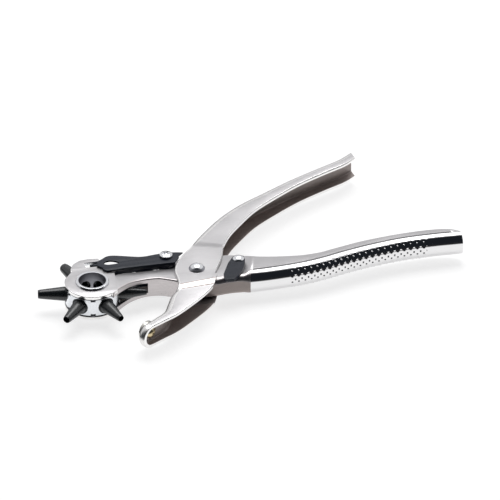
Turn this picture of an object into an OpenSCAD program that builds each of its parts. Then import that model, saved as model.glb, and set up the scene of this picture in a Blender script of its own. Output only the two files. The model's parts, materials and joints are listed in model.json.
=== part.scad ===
// Rotary hole punch for leather: two pressed channel arms on a pivot rivet, a turret
// with six punch tubes, an anvil, a sprung index lever and a latch for the handles.
// Millimetres. The origin is the turret axis at mid thickness, +X runs towards the pivot
// and the handles, and +Z is up with the tool lying on its side.

/* [Arms] */
// Thickness of the pressed steel sheet
sheet = 1.8; // [1.5:0.1:2]
// Half of the thickness across the handles and the jaw
side_half = 6.5; // [6.3:0.1:6.8]
// Bend radius along the back of the turret arm's handle
grip_fold = 5; // [4:0.5:5]

/* [Turret] */
// Distance from the pivot axis to the turret axis
turret_reach = 55; // [54:0.5:56]
// Radius of the turret drum
drum_r = 14; // [13.5:0.1:14.2]
// Height of the turret drum
drum_h = 9.8; // [9:0.1:9.8]
// Distance from the turret axis to the cutting tips
tip_reach = 28; // [27.5:0.1:28.4]
// Hole sizes of the six tubes, going round from the one beside the pivot
hole_d = [2.5, 2, 4.5, 4, 3.5, 3]; // [2:0.5:5]
// Outside diameter of the turret's hollow hub
hub_d = 17.1; // [16.5:0.1:17.2]
// Bore of the hub, where the leather slugs fall out
hub_bore_d = 14; // [13:0.1:14.2]

/* [Motion] */
// Angle the anvil arm turns to close onto the working tube
close_angle = 17; // [15:1:17]
// Diameter of the pivot rivet
pivot_d = 7; // [6:0.5:7.5]

/* [Hidden] */
$fn = 64;

run_gap = 0.05;                     // radial clearance of a turning fit
seat_gap = 0.02;                    // radial clearance of a fixed fit
head_half = 7;                      // turret arm's half thickness at the turret
waist_half = 5.4;                   // and where the anvil arm straddles it
plate_half = 7.5;                   // anvil arm's half thickness at the pivot
plate_in = plate_half - sheet;      // inner face of its pivot plates
hub_half = head_half + 1.1;
tube_pitch = 60;
first_tube = -10;                   // bearing of the tube beside the pivot
work_tube = 290;                    // bearing of the tube that meets the anvil
collar_r = 4.2;
shank_r = 3.2;
cone_r = 3.7;
port_r = 3.1;                       // slug ports through the hub
tube_in = 2.6;                      // widest bore of a tube, at its root
pocket_floor = drum_r - 2.2;        // distance of the tube seats from the turret axis
anvil_gap = 0.25;                   // left between tip circle and anvil when closed
anvil_r = 5.2;
rivet_r = 2.2;                      // shank of the anvil's rivet
anvil_t = 2.4;
nose_fold = 2.4;                    // bend radius round the jaw's half-round end
screw_at = [-13.3, 13.8];           // index lever's pivot
ear_half = 4.4;                     // outer faces of the ears that carry it
lever_half = head_half + 1.1;       // the lever's sides run outside the head's cheeks
lever_sheet = 1;
latch_at = [23, 5];
latch_z = 5.6;
latch_t = 1.6;

// The arms, levers and latch are drawn from the pivot axis and placed with at_pivot().
// Stations along the turret arm, from the turret to the end of the handle:
// back of the bend x and y, free edge x and y, half thickness, bend radius.
turret_stations = [
  [-46.4, -12.4, -52.0, -5.0, head_half, 0.4],
  [-42.0,  -8.2, -46.5, -1.0, head_half - 0.1, 0.4],
  [-36.5,  -4.3, -38.5,  4.6, 6.3, 0.4],
  [-31.0,  -2.3, -31.6,  4.8, 5.8, 0.8],
  [-26.0,  -1.6, -26.5,  5.6, 5.6, 2.4],
  [-20.0,  -2.1, -19.0,  6.0, 5.6, 3],
  [-14.0,  -4.9, -10.0,  5.5, 5.5, 3],
  [ -5.5,  -8.8,  -3.0,  9.0, waist_half, 3],
  [  6.0, -10.3,   7.0, 12.0, waist_half, 3],
  [ 15.0,  -9.6,  18.0, 12.0, waist_half, 3],
  [ 22.4,  -9.9,  28.0,  9.4, waist_half, 3],
  [ 25.2, -10.5,  31.2,  6.8, side_half, grip_fold],
  [ 34.0, -10.8,  36.5,  5.2, side_half, grip_fold],
  [ 46.0, -10.3,  45.6,  3.5, side_half, grip_fold],
  [ 57.0,  -9.2,  56.0,  2.4, side_half, grip_fold],
  [ 68.0,  -7.0,  65.6,  3.0, side_half, grip_fold],
  [ 78.0,  -4.2,  75.4,  5.4, side_half, grip_fold],
  [ 92.5,  -0.9,  90.6,  8.8, side_half, grip_fold],
  [110.0,   1.6, 109.0, 11.0, side_half, grip_fold],
  [126.0,   1.9, 125.5, 11.4, side_half, grip_fold],
  [136.0,   1.5, 135.4, 10.0, side_half, grip_fold],
  [141.0,   1.3, 140.8,  6.8, side_half, grip_fold]];

// The same along the anvil arm, from the nose to the end of its handle.
anvil_stations = [
  [-36.2, -42.1, -33.3, -45.9, side_half, nose_fold],
  [-29.6, -37.2, -25.7, -41.5, side_half, 2.6],
  [-24.4, -32.6, -17.8, -36.9, side_half, 3],
  [-20.9, -25.5,  -8.0, -28.9, side_half, 3],
  [-18.3, -20.0,   0.6, -21.0, side_half, 3],
  [-15.0, -16.0,   5.8, -14.8, side_half + 0.1, 3],
  [-12.5, -12.6,   8.0, -10.2, plate_half, 0.6],
  [-11.6,  -7.0,   9.0,  -7.4, plate_half, 0.4],
  [-11.6,   0.0,   9.0,  -4.4, plate_half, 0.4],
  [ -9.6,   6.3,  10.6,  -0.6, plate_half, 0.4],
  [ -4.4,  14.2,  14.4,   7.0, plate_half, 0.4],
  [  1.7,  21.0,  17.4,  16.4, plate_half, 0.4],
  [  4.0,  26.6,  18.7,  20.4, side_half, 2.4],
  [ 12.2,  37.0,  23.9,  29.3, side_half, 3],
  [ 22.6,  47.7,  31.4,  38.4, side_half, 3],
  [ 34.6,  56.9,  41.0,  48.6, side_half, 3],
  [ 48.1,  64.6,  52.8,  57.5, side_half, 3],
  [ 64.9,  73.7,  68.2,  67.6, side_half, 2.6],
  [ 81.4,  81.4,  84.1,  75.7, side_half, 2.4],
  [ 93.6,  87.0,  95.9,  81.1, side_half, 2.4],
  [101.5,  92.4, 102.6,  86.0, side_half, 2.4]];

// Catmull-Rom curve through rows of numbers, with a given count of steps per span.
function blend(a, b, c, d, t) =
  0.5 * (2 * b + (c - a) * t + (2 * a - 5 * b + 4 * c - d) * t * t
         + (3 * b - a - 3 * c + d) * t * t * t);
function row(rows, i) = rows[max(0, min(len(rows) - 1, i))];
function curve(rows, steps) =
  [for (i = [0 : len(rows) - 2], k = [0 : steps - 1])
     blend(row(rows, i - 1), row(rows, i), row(rows, i + 1), row(rows, i + 2), k / steps),
   rows[len(rows) - 1]];

// Section of a pressed channel: points [distance in from its back, height].
function channel_section(depth, half, fold, bends = 4) =
  let (inner = max(fold - sheet, 0.2), deep = sheet + inner, low = half - deep)
  concat([[depth, half]],
         [for (k = [0 : bends]) let (a = 90 + 90 * k / bends)
            [fold + fold * cos(a), half - fold + fold * sin(a)]],
         [for (k = [0 : bends]) let (a = 180 + 90 * k / bends)
            [fold + fold * cos(a), fold - half + fold * sin(a)]],
         [[depth, -half], [depth, sheet - half]],
         [for (k = [0 : bends]) let (a = 270 - 90 * k / bends)
            [deep + inner * cos(a), -low + inner * sin(a)]],
         [for (k = [0 : bends]) let (a = 180 - 90 * k / bends)
            [deep + inner * cos(a), low + inner * sin(a)]],
         [[depth, half - sheet]]);

// Closed solid through rings of points that all have the same even count. Each end is
// closed by a ladder of triangles between the ring's two halves.
module skin(rings) {
  count = len(rings[0]);
  base = (len(rings) - 1) * count;
  sides = [for (i = [0 : len(rings) - 2], j = [0 : count - 1])
             let (a = i * count + j, b = i * count + (j + 1) % count)
             each [[a, b, a + count], [b, b + count, a + count]]];
  start = [for (j = [0 : count / 2 - 2]) let (m = count - 1 - j)
             each [[j, m, j + 1], [j + 1, m, m - 1]]];
  end = [for (j = [0 : count / 2 - 2]) let (m = count - 1 - j)
           each [[base + j, base + j + 1, base + m], [base + j + 1, base + m - 1, base + m]]];
  polyhedron([for (ring = rings) each ring], concat(sides, start, end), convexity = 8);
}

function reversed(list) = [for (i = [len(list) - 1 : -1 : 0]) list[i]];

// Channel arm swept through its stations. The section is listed the other way round
// when the free edge lies left of the direction of travel.
module channel(stations, steps = 2) {
  travel = [stations[1][0] - stations[0][0], stations[1][1] - stations[0][1]];
  open_to = [stations[0][2] - stations[0][0], stations[0][3] - stations[0][1]];
  opens_left = cross(travel, open_to) > 0;
  skin([for (s = curve(stations, steps))
          let (back = [s[0], s[1]], across = [s[2], s[3]] - back,
               depth = max(norm(across), s[5] + 0.2), dir = across / norm(across),
               section = channel_section(depth, s[4], s[5]))
          [for (p = opens_left ? reversed(section) : section)
             [back[0] + dir[0] * p[0], back[1] + dir[1] * p[0], p[1]]]]);
}

// Flat plates at both sides of mid thickness, between two heights.
module both_sides(low, high) {
  for (side = [0, 1]) {
    mirror([0, 0, side]) {
      translate([0, 0, low]) {
        linear_extrude(high - low) children();
      }
    }
  }
}

module rod(r, low, high) {
  translate([0, 0, low]) cylinder(r = r, h = high - low);
}

module ring(r_out, r_in, low, high) {
  difference() {
    rod(r_out, low, high);
    rod(r_in, low - 1, high + 1);
  }
}

// Domed rivet head sitting on z = 0.
module dome(r, h) {
  ball = (r * r + h * h) / (2 * h);
  rotate_extrude() {
    intersection() {
      translate([0, h - ball]) circle(ball, $fn = 96);
      square([r, h]);
    }
  }
}

module at_pivot() {
  translate([turret_reach, 0, 0]) children();
}

module at_turret() {
  translate([-turret_reach, 0, 0]) children();
}

// Turret arm's head: a round cheek with a slotted tab that guides the index nose.
module head_outline() {
  slot_in = drum_r - 0.6;
  slot_out = slot_in + 4.6;
  difference() {
    union() {
      circle(drum_r + 0.3, $fn = 96);
      polygon([[-13.4, 5], [-9, 13.6], [-6.2, 18.2], [-2.6, 20.7], [2, 21.2],
               [7.4, 20.6], [7.6, 12.2], [13.2, 5.5]]);
      polygon([[-7, -12.4], [0, -14.3], [6.5, -13.6], [10.6, -11.2], [12.6, 6], [4, 8]]);
    }
    circle(hub_d / 2 + run_gap);
    translate([-0.6, slot_in]) square([12, slot_out - slot_in]);
  }
}

module turret_arm() {
  color("gainsboro") at_pivot() {
    difference() {
      union() {
        channel(turret_stations);
        at_turret() both_sides(head_half - sheet, head_half) head_outline();
        both_sides(ear_half - sheet, ear_half) {
          polygon([[-18, 2.4], [-6, 2.4], [-6, 14], [-9.5, 17.3], [-14, 18], [-17.2, 16], [-18, 13]]);
        }
      }
      at_turret() rod(hub_d / 2 + run_gap, -head_half - 1, head_half + 1);
      at_turret() rod(drum_r + 0.2, sheet - head_half, head_half - sheet);
      at_turret() rod(tip_reach + 1.2, -3.9, 3.9);
      rod(pivot_d / 2 + seat_gap, -head_half, head_half);
      translate(screw_at) rod(2.5 + seat_gap, -head_half, head_half);
      translate(latch_at) rod(1.5 + seat_gap, 0, head_half);
    }
  }
}

// Half-round end of the jaw: its web and cheeks run into one cupped wall.
module nose_end() {
  inner = nose_fold - sheet;
  wall_in = side_half - sheet;
  depth = 4.8;
  at_anvil() translate([0, -2.2, anvil_t]) {
    difference() {
      rotate_extrude() {
        polygon(concat(
          [[0, 0]],
          [for (a = [270 : 15 : 360])
             [side_half - nose_fold + nose_fold * cos(a), nose_fold + nose_fold * sin(a)]],
          [[side_half, depth], [wall_in, depth]],
          [for (a = [360 : -30 : 270])
             [wall_in - inner + inner * cos(a), nose_fold + inner * sin(a)]],
          [[0, sheet]]));
      }
      translate([-side_half - 1, 0, -1]) cube([2 * side_half + 2, side_half + 1, depth + 2]);
    }
  }
}

module anvil_arm() {
  color("gainsboro") at_pivot() {
    difference() {
      union() {
        channel(anvil_stations);
        nose_end();
      }
      both_sides(-0.1, plate_in) {
        polygon([[-30, -11.2], [-15.2, -14.4], [-4, -16], [9.6, -14], [30, -5],
                 [30, 17], [17.8, 18.2], [6, 22.4], [0.4, 24.8], [-30, 24]]);
      }
      rod(pivot_d / 2 + run_gap, -plate_half - 1, plate_half + 1);
      translate([9.6, -5.6, -plate_half - 1]) {
        cylinder(r = 1.2, h = 2 * plate_half + 2, $fn = 24);
      }
      at_anvil() rod(rivet_r + seat_gap, -1, anvil_t + 4);
    }
  }
}

// Centre of the anvil's face with the handles open.
function anvil_foot() =
  let (x = -turret_reach + (tip_reach + anvil_gap) * cos(work_tube),
       y = (tip_reach + anvil_gap) * sin(work_tube))
  [x * cos(close_angle) - y * sin(close_angle),
   x * sin(close_angle) + y * cos(close_angle)];

// Puts +Z along the anvil's axis, pointing away from the turret, with its face at z = 0.
module at_anvil() {
  foot = anvil_foot();
  translate([foot[0], foot[1], 0]) {
    rotate(work_tube + close_angle) rotate([0, 90, 0]) children();
  }
}

module anvil_disc() {
  color("darkkhaki") at_pivot() {
    at_anvil() {
      difference() {
        union() {
          rod(anvil_r - 0.5, 0, 0.5);
          rod(anvil_r, 0.5, anvil_t);
        }
        rod(rivet_r + seat_gap, -1, anvil_t + 1);
      }
    }
  }
}

module anvil_rivet() {
  head_z = anvil_t + sheet + 0.2;
  color("goldenrod") at_pivot() {
    at_anvil() {
      difference() {
        union() {
          rod(rivet_r, 0.05, head_z + 0.2);
          translate([0, 0, head_z]) dome(3.2, 1.3);
        }
        rod(0.6, head_z + 0.7, head_z + 3);
      }
    }
  }
}

module pivot_rivet() {
  color("silver") at_pivot() {
    rod(pivot_d / 2, -plate_half - 0.5, plate_half + 0.5);
    for (side = [0, 1]) {
      mirror([0, 0, side]) translate([0, 0, plate_half + 0.05]) dome(4.2, 2.5);
    }
  }
}

module pivot_washers() {
  color("darkgray") at_pivot() {
    for (side = [0, 1]) {
      mirror([0, 0, side]) ring(7, pivot_d / 2 + run_gap, waist_half + 0.03, plate_in - 0.03);
    }
  }
}

// Torsion spring: a coil from one bearing through a total angle, with a straight leg
// running off along the tangent at each end.
module torsion_spring(wire_r, coil_r, start, total, height, in_leg, out_leg) {
  steps = round(total / 18);
  function wire(p, a) =
    [for (j = [0 : 7]) let (b = 45 * j)
       [p[0] + wire_r * cos(b) * cos(a), p[1] + wire_r * cos(b) * sin(a),
        p[2] + wire_r * sin(b)]];
  function point(a, z, ahead) =
    [coil_r * cos(a) - ahead * sin(a), coil_r * sin(a) + ahead * cos(a), z];
  skin(concat([wire(point(start, -height / 2, -in_leg), start)],
              [for (k = [0 : steps]) let (a = start + total * k / steps)
                 wire(point(a, height * (k / steps - 0.5), 0), a)],
              [wire(point(start + total, height / 2, out_leg), start + total)]));
}

// Round the pivot; one leg bears on each arm's back.
module opening_spring() {
  color("dimgray") at_pivot() torsion_spring(0.6, 5.4, 250, 1179, 4.8, 11, 31);
}

module turret_drum() {
  color("silver") {
    difference() {
      rod(drum_r, -drum_h / 2, drum_h / 2);
      rod(hub_d / 2 + seat_gap, -drum_h, drum_h);
      for (k = [0 : 5]) {
        rotate(first_tube + tube_pitch * k) rotate([0, 90, 0]) {
          rod(shank_r + seat_gap, 4, drum_r + 1);
          rod(collar_r + 0.3, pocket_floor, drum_r + 1);
        }
        rotate(first_tube + tube_pitch * (k + 0.5)) {
          for (side = [0, 1]) {
            mirror([0, 0, side]) {
              translate([drum_r + 0.4, 0, collar_r - 0.6]) {
                cylinder(r = 1.4, h = drum_h, $fn = 24);
              }
            }
          }
        }
      }
    }
  }
}

// Hollow hub: the slugs drop through a port behind each tube into a relieved waist.
module turret_hub() {
  lip = hub_half - 0.4;
  waist = port_r + 0.5;
  color("silver") {
    difference() {
      union() {
        rod(hub_d / 2, -lip, lip);
        rod(hub_d / 2 - 0.35, -hub_half, hub_half);
      }
      rod(hub_bore_d / 2, -hub_half - 1, hub_half + 1);
      rod(hub_bore_d / 2 + 0.3, -waist, waist);
      for (k = [0 : 5]) {
        rotate(first_tube + tube_pitch * k) rotate([0, 90, 0]) rod(port_r, 4, drum_r);
      }
    }
  }
}

module hub_washers() {
  color("darkgray") {
    for (side = [0, 1]) {
      mirror([0, 0, side]) {
        ring(12, hub_d / 2 + run_gap, drum_h / 2 + 0.03, head_half - sheet - 0.03);
      }
    }
  }
}

// Punch tube: shank in the drum, round collar, cone down to a bevelled cutting edge.
module punch_tube(k) {
  bore = hole_d[k] / 2;
  seat = pocket_floor + 0.02;
  inner_end = hub_d / 2 + 0.4;
  color("#20242b") {
    rotate(first_tube + tube_pitch * k) rotate([0, 90, 0]) {
      rotate_extrude() {
        polygon([[bore, tip_reach], [bore + 0.15, tip_reach],
                 [bore + 0.65, tip_reach - 1.2], [cone_r, drum_r + 0.4],
                 [cone_r, drum_r - 0.2], [collar_r, drum_r - 0.2], [collar_r, seat],
                 [shank_r, seat], [shank_r, inner_end], [tube_in, inner_end],
                 [bore + 0.25, tip_reach - 6], [bore, tip_reach - 4]]);
      }
    }
  }
}

// Index lever: two sides outside the head's cheeks, each with a nose and an eye behind
// it, joined by a short back. A tooth drops from the nose through the head's slot.
lever_low = [[-9.9, 7.2], [-17.2, 7.3], [-28.5, 7.4], [-36.4, 7.4], [-41.5, 6.9]];

module lever_side() {
  difference() {
    polygon(concat(
      curve([[-49.9, 12.9], [-48.6, 16.5], [-46.1, 18.3], [-43.3, 20.1], [-40, 20.2],
             [-35.1, 18.8], [-30, 17.1], [-25, 16], [-16.3, 16.8], [-9.3, 16.6],
             [-4.1, 15.5]], 4),
      [[-6.4, 12.3], [-9, 8.5]], lever_low,
      [[-45.6, 6.8], [-48.3, 9.4]]));
    polygon(curve([[-46.4, 13.7], [-44.9, 15.3], [-42.5, 15.7], [-39.9, 14.7], [-38.3, 12.9],
                   [-41.3, 12.4], [-44.3, 12.5], [-46.4, 13.7]], 3));
  }
}

// Lip turned in along the lever's lower edge.
module lever_lip() {
  polygon(concat(lever_low, [for (p = reversed(lever_low)) p + [0, lever_sheet]]));
}

module lever_back() {
  intersection() {
    difference() {
      lever_side();
      translate([0, -lever_sheet]) lever_side();
    }
    translate([-29, 14]) square([9.4, 5]);
  }
}

module index_lever() {
  tooth_low = ear_half - 0.1;
  tooth_y = drum_r - 0.4;
  inside = lever_half - lever_sheet;
  color("#1b2230") at_pivot() {
    difference() {
      union() {
        both_sides(inside, lever_half) lever_side();
        both_sides(-0.1, inside + 0.1) lever_back();
        both_sides(ear_half + 0.2, inside + 0.1) lever_lip();
        both_sides(tooth_low, inside + 0.1) {
          polygon([[-46.5, tooth_y + 0.1], [-50, tooth_y + 0.1], [-51.8, tooth_y + 0.55],
                   [-53.3, tooth_y + 0.7], [-53.1, tooth_y + 1.5], [-46.5, tooth_y + 1.8]]);
        }
      }
      translate(screw_at) rod(1.75 + run_gap, -lever_half - 1, lever_half + 1);
    }
  }
}

module lever_screw() {
  color("silver") at_pivot() {
    translate(screw_at) {
      difference() {
        union() {
          rod(1.75, -lever_half - 1.6, lever_half + 0.5);
          rod(2.5, lever_half + 0.03, lever_half + 0.6);
          translate([0, 0, lever_half + 0.6]) rod(3.3, 0, 0.5);
          translate([0, 0, lever_half + 1.1]) dome(3.3, 0.9);
        }
        for (turn = [45, 135]) {
          rotate(turn) translate([-1.9, -0.4, lever_half + 0.9]) cube([3.8, 0.8, 2]);
        }
      }
    }
  }
}

module lever_sleeve() {
  color("silver") at_pivot() {
    translate(screw_at) ring(2.5, 1.75 + run_gap, -lever_half + lever_sheet + 0.05,
                             lever_half - lever_sheet - 0.05);
  }
}

module lever_nut() {
  color("silver") at_pivot() {
    translate(screw_at) {
      difference() {
        translate([0, 0, -lever_half - 1.9]) cylinder(r = 3.5, h = 1.8, $fn = 6);
        rod(1.75 + seat_gap, -lever_half - 3, 0);
      }
    }
  }
}

// Light torsion spring on the lever's sleeve that presses the nose to the drum.
module lever_spring() {
  color("dimgray") at_pivot() {
    translate(screw_at) torsion_spring(0.3, 3, 200, 1400, 3.4, 5, 8);
  }
}

module latch() {
  color("#1b2230") at_pivot() {
    difference() {
      translate([0, 0, latch_z]) {
        linear_extrude(latch_t) {
          polygon([[16.9, 2.3], [20.6, 7.6], [23.6, 8.4], [26, 7.2], [26.3, 4.4],
                   [25.2, -0.2], [23.5, -4.5], [19.6, -10.4], [16.8, -13.4], [11.8, -12.8],
                   [12.6, -7]]);
        }
      }
      translate(latch_at) rod(1.5 + run_gap, 0, plate_half + 2);
      translate([17.1, -8, latch_z + latch_t + 1.1]) sphere(r = 1.9, $fn = 32);
    }
  }
}

module latch_rivet() {
  tail_z = waist_half - sheet - 0.25;
  color("silver") at_pivot() {
    translate(latch_at) {
      rod(1.5, tail_z - 0.4, latch_z + latch_t + 0.2);
      rod(2.4, tail_z - 0.8, tail_z);
      translate([0, 0, latch_z + latch_t + 0.05]) dome(3, 1.3);
    }
  }
}

module latch_washer() {
  color("darkgray") at_pivot() {
    translate(latch_at) {
      ring(2.6, 1.5 + run_gap, waist_half + 0.02, latch_z - 0.02);
    }
  }
}

turret_arm();
anvil_arm();
pivot_rivet();
pivot_washers();
opening_spring();
turret_drum();
turret_hub();
hub_washers();
punch_tube(0);  // punch_tube_1
punch_tube(1);  // punch_tube_2
punch_tube(2);  // punch_tube_3
punch_tube(3);  // punch_tube_4
punch_tube(4);  // punch_tube_5
punch_tube(5);  // punch_tube_6
index_lever();
lever_screw();
lever_sleeve();
lever_nut();
lever_spring();
latch();
latch_rivet();
latch_washer();
anvil_disc();
anvil_rivet();
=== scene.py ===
"""Looks of the rotary hole punch. Sizes are millimetres from the turret axis, as in the CAD
frame, and become metres when a mesh is made."""
import json
import math

import bmesh
import bpy
import numpy as np
from mathutils import Matrix, Vector


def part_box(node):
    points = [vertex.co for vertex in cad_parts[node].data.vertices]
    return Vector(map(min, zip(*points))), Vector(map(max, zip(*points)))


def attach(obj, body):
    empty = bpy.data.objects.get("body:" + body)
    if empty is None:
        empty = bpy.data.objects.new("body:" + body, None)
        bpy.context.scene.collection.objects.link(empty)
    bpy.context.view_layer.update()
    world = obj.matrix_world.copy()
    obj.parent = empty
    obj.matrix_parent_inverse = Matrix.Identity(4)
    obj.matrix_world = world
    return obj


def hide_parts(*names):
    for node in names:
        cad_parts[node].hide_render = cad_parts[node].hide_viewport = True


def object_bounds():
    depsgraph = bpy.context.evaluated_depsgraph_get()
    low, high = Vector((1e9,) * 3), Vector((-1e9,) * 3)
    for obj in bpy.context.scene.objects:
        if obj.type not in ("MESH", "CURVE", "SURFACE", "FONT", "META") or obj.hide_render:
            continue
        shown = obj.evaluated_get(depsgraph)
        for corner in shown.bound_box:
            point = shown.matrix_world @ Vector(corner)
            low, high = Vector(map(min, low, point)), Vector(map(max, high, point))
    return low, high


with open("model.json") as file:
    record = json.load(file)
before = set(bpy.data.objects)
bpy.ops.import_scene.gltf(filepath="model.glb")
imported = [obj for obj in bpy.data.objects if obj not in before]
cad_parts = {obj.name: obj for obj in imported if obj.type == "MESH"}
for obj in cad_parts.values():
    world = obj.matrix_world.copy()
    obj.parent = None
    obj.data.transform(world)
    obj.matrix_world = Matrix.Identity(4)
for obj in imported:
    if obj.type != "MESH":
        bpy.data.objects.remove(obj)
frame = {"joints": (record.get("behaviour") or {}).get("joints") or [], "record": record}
CAD_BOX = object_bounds()
RECORD = frame["record"]
MM = 0.001

# ---------------------------------------------------------------- sizes from the frame


def joint_at(name):
    """A joint's point in the XY plane, in millimetres."""
    joint = next(j for j in frame["joints"] if j["name"] == name)
    return np.array(joint["pos_m"][:2]) / MM


def extent(node, axis):
    """A CAD node's size along one axis, in millimetres."""
    low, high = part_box(node)
    return (high[axis] - low[axis]) / MM


def top_of(node):
    """Height of a CAD node's top over mid thickness, in millimetres."""
    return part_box(node)[1][2] / MM


PIVOT = joint_at("handle_close")
SCREW = joint_at("index_lever_lift")
LATCH = joint_at("latch_swing")
HEAD_HALF = top_of("turret_arm")
THROAT_HALF = 5.4                   # half thickness of the turret arm at the pivot
EAR_HALF = 4.4                      # and of its ears that carry the lever
PLATE_HALF = 7.5                    # half thickness of the anvil arm at the pivot plates
JAW_HALF = 6.5                      # and of its jaw
SHEET = 1.8
CHEEK_IN = HEAD_HALF - SHEET
LEVER_HALF = top_of("index_lever")
LEVER_SHEET = 1.0
LEVER_IN = LEVER_HALF - LEVER_SHEET
LATCH_LOW = 5.6
LATCH_SHEET = 1.6
DRUM_R = extent("turret_drum", 0) / 2
HEAD_R = DRUM_R + 0.3               # radius of the turret arm's round cheeks
DRUM_HALF = top_of("turret_drum")
HUB_R = extent("turret_hub", 0) / 2
HUB_HALF = top_of("turret_hub")
HUB_BORE = 7.0
POCKET_FLOOR = DRUM_R - 2.2         # radius of the flat that a tube's collar sits on
SHANK_R = 3.2
COLLAR_R = top_of("punch_tube_1")
CONE_R = 3.7
PORT_R = 3.1
TIP_REACH = 28.0
FIRST_TUBE = -10                    # bearing of the first tube, in degrees
TUBE_PITCH = 60
HOLES = [2.5, 2.0, 4.5, 4.0, 3.5, 3.0]
WORK_ANGLE = 307                    # bearing of the anvil's axis with the handles open
ANVIL_R = 5.2
ANVIL_T = 2.4
RIVET_SHANK = 2.2                   # radius of the anvil rivet's shank
HAIR = 0.02                         # gap that keeps two faces from coinciding
FAR = 20                            # a cut this long goes right through

# ---------------------------------------------------------------- mesh helpers

NEARLY_STRAIGHT = math.radians(176)  # a corner wider than this is not rounded


def finish_mesh(name, bm, sharp=35):
    """Makes a piece from a bmesh in millimetres and uses the bmesh up."""
    bmesh.ops.remove_doubles(bm, verts=bm.verts, dist=1e-4)
    bmesh.ops.recalc_face_normals(bm, faces=bm.faces)
    bmesh.ops.scale(bm, vec=(MM, MM, MM), verts=bm.verts)
    mesh = bpy.data.meshes.new(name)
    bm.to_mesh(mesh)
    bm.free()
    piece = bpy.data.objects.new(name, mesh)
    bpy.context.scene.collection.objects.link(piece)
    smooth(piece, sharp)
    return piece


def smooth(piece, sharp=35):
    """Shades a piece smooth except at edges sharper than this, in degrees."""
    for polygon in piece.data.polygons:
        polygon.use_smooth = True
    piece.data.set_sharp_from_angle(angle=math.radians(sharp))


def from_lists(name, points, faces, sharp, materials=None):
    """Makes a piece from points in millimetres and faces, with a material number per face."""
    bm = bmesh.new()
    verts = [bm.verts.new(p) for p in points]
    for k, face in enumerate(faces):
        made = bm.faces.new([verts[i] for i in face])
        if materials:
            made.material_index = materials[k]
    return finish_mesh(name, bm, sharp)


def combine(piece, other, operation, sharp=35):
    """Boolean with another mesh, which is used up."""
    modifier = piece.modifiers.new("boolean", "BOOLEAN")
    modifier.object = other
    modifier.operation = operation
    modifier.solver = "EXACT"
    with bpy.context.temp_override(object=piece, active_object=piece):
        bpy.ops.object.modifier_apply(modifier=modifier.name)
    bpy.data.objects.remove(other)
    smooth(piece, sharp)


def fillet(points, radius, steps=4):
    """Rounds every corner of a closed outline. A point may carry its own radius as a third
    value."""
    count = len(points)
    rounded = []
    for i, point in enumerate(points):
        own = point[2] if len(point) > 2 else radius
        here = np.array(point[:2], float)
        before = np.array(points[i - 1][:2], float) - here
        after = np.array(points[(i + 1) % count][:2], float) - here
        la, lb = np.linalg.norm(before), np.linalg.norm(after)
        before, after = before / la, after / lb
        angle = math.acos(max(-1.0, min(1.0, float(before @ after))))
        if own <= 0 or angle > NEARLY_STRAIGHT:
            rounded.append(tuple(here))
            continue
        reach = min(own / math.tan(angle / 2), 0.48 * la, 0.48 * lb)
        start, end = here + before * reach, here + after * reach
        for k in range(steps + 1):
            t = k / steps
            rounded.append(tuple((1 - t) ** 2 * start + 2 * t * (1 - t) * here + t * t * end))
    return rounded


def lathe(name, outline, place=None, segments=64, closed=True):
    """Turns an outline of (radius, height) round +Z, then moves it by a matrix. An outline
    that starts and ends on the axis needs no closing."""
    bm = bmesh.new()
    rings = []
    for r, h in outline:
        if r < 1e-6:
            rings.append([bm.verts.new((0, 0, h))])
        else:
            rings.append([bm.verts.new((r * math.cos(a), r * math.sin(a), h))
                          for a in np.arange(segments) * 2 * math.pi / segments])
    last = len(rings) if closed else len(rings) - 1
    for i in range(last):
        a, b = rings[i], rings[(i + 1) % len(rings)]
        if len(a) == 1 and len(b) == 1:
            continue
        for k in range(segments):
            m = (k + 1) % segments
            if len(a) == 1:
                bm.faces.new((a[0], b[k], b[m]))
            elif len(b) == 1:
                bm.faces.new((a[k], a[m], b[0]))
            else:
                bm.faces.new((a[k], a[m], b[m], b[k]))
    if place is not None:
        bmesh.ops.transform(bm, matrix=place, verts=bm.verts)
    return finish_mesh(name, bm)


def dome_profile(radius, height, base, steps=10):
    """The curved part of a domed head, from its rim at base to the top on the axis."""
    ball = (radius * radius + height * height) / (2 * height)
    reach = math.asin(min(1.0, radius / ball))
    return [(ball * math.sin(reach * (1 - k / steps)),
             base + height - ball + ball * math.cos(reach * (1 - k / steps)))
            for k in range(steps + 1)]


def cylinder(name, radius, low, high, place=None, segments=64):
    """Lathe with a plain outline."""
    outline = [(0, low), (radius, low), (radius, high), (0, high)]
    return lathe(name, outline, place, segments)


def plate(name, outline, low, high, holes=(), bevel=0.15):
    """Flat plate between two heights with bevelled edges, from outlines in millimetres."""
    curve = bpy.data.curves.new(name, "CURVE")
    curve.dimensions = "2D"
    curve.fill_mode = "BOTH"
    for points in [outline, *holes]:
        spline = curve.splines.new("POLY")
        spline.points.add(len(points) - 1)
        for target, (x, y) in zip(spline.points, points):
            target.co = (x, y, 0, 1)
        spline.use_cyclic_u = True
    curve.extrude = (high - low) / 2 - bevel
    curve.bevel_depth = bevel
    curve.bevel_resolution = 2
    curve.offset = -bevel
    holder = bpy.data.objects.new(name + "_outline", curve)
    bpy.context.scene.collection.objects.link(holder)
    bpy.context.view_layer.update()
    evaluated = holder.evaluated_get(bpy.context.evaluated_depsgraph_get())
    bm = bmesh.new()
    bm.from_mesh(evaluated.to_mesh())
    bpy.data.objects.remove(holder)
    bmesh.ops.translate(bm, vec=(0, 0, (low + high) / 2), verts=bm.verts)
    return finish_mesh(name, bm)


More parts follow.
